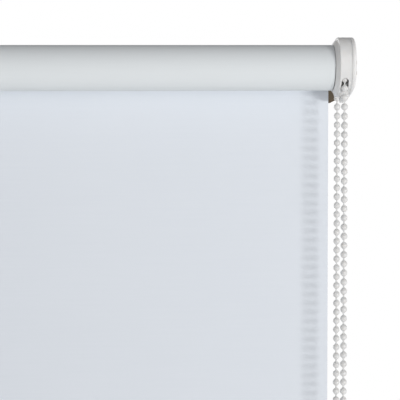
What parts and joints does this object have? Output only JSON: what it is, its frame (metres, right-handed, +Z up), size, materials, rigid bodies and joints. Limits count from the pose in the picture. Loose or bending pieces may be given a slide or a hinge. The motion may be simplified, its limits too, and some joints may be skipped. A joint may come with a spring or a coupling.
{
  "type": "roller blind",
  "caption": "Roller blind: fabric on a tube between two wall brackets, with a bead-chain control unit at one end and a weighted bottom rail.",
  "frame": {"origin": "on the wall plane, midway between the fabric's two edges, level with the roller's axis", "axes": "+X along the roller towards the chain control, +Y into the wall, +Z up"},
  "size_m": [0.6278, 0.0516, 1.0196],
  "materials": {
    "fabric": "matte",
    "white_plastic": "satin",
    "grey_plastic": "satin",
    "nylon": "satin",
    "bead_plastic": "gloss",
    "clear_plastic": "gloss",
    "bracket_steel": "satin",
    "steel": "satin",
    "tube_aluminium": "satin",
    "tape": "matte"
  },
  "bodies": {
    "frame": {"control_bracket": "bracket_steel", "idle_bracket": "bracket_steel", "idle_bracket_bush": "nylon", "idle_bracket_cover": "white_plastic", "chain_housing": "white_plastic", "chain_housing_cover": "white_plastic", "core_shaft": "nylon", "retaining_washer": "steel", "retaining_screw": "steel", "bead_chain": "bead_plastic", "wheel_beads": "bead_plastic", "chain_connector": "clear_plastic", "fabric_sheet": "fabric"},
    "roller": {"chain_wheel": "white_plastic", "drive_hub": "grey_plastic", "wrap_spring_inner": "steel", "wrap_spring_outer": "steel", "roller_tube": "tube_aluminium", "fabric_tape": "tape", "fabric_roll": "fabric", "idle_plug": "grey_plastic", "idle_pin_ring": "nylon", "idle_pin_spring": "steel"},
    "idle_pin": {"idle_pin": "steel"},
    "bottom_rail": {"hem_pocket": "fabric", "weight_bar": "tube_aluminium", "rail_cap_left": "white_plastic", "rail_cap_right": "white_plastic"}
  },
  "joints": [
    {"name": "roller_turn", "type": "hinge", "parent": "frame", "child": "roller", "pos_m": [0, -0.032, 0], "axis": [1, 0, 0], "range_deg": [0, 3240]},
    {"name": "rail_lift", "type": "slide", "parent": "frame", "child": "bottom_rail", "axis": [0, 0, 1], "range_m": [0, 0.951], "deforming": ["fabric_sheet"]},
    {"name": "idle_pin_slide", "type": "slide", "parent": "roller", "child": "idle_pin", "axis": [1, 0, 0], "range_m": [0, 0.006], "stiffness_N_per_m": 600, "springref_m": -0.006, "deforming": ["idle_pin_spring"]}
  ],
  "couplings": [
    {"joint": "rail_lift", "follows": "roller_turn", "m_per_rad": 0.0168}
  ]
}
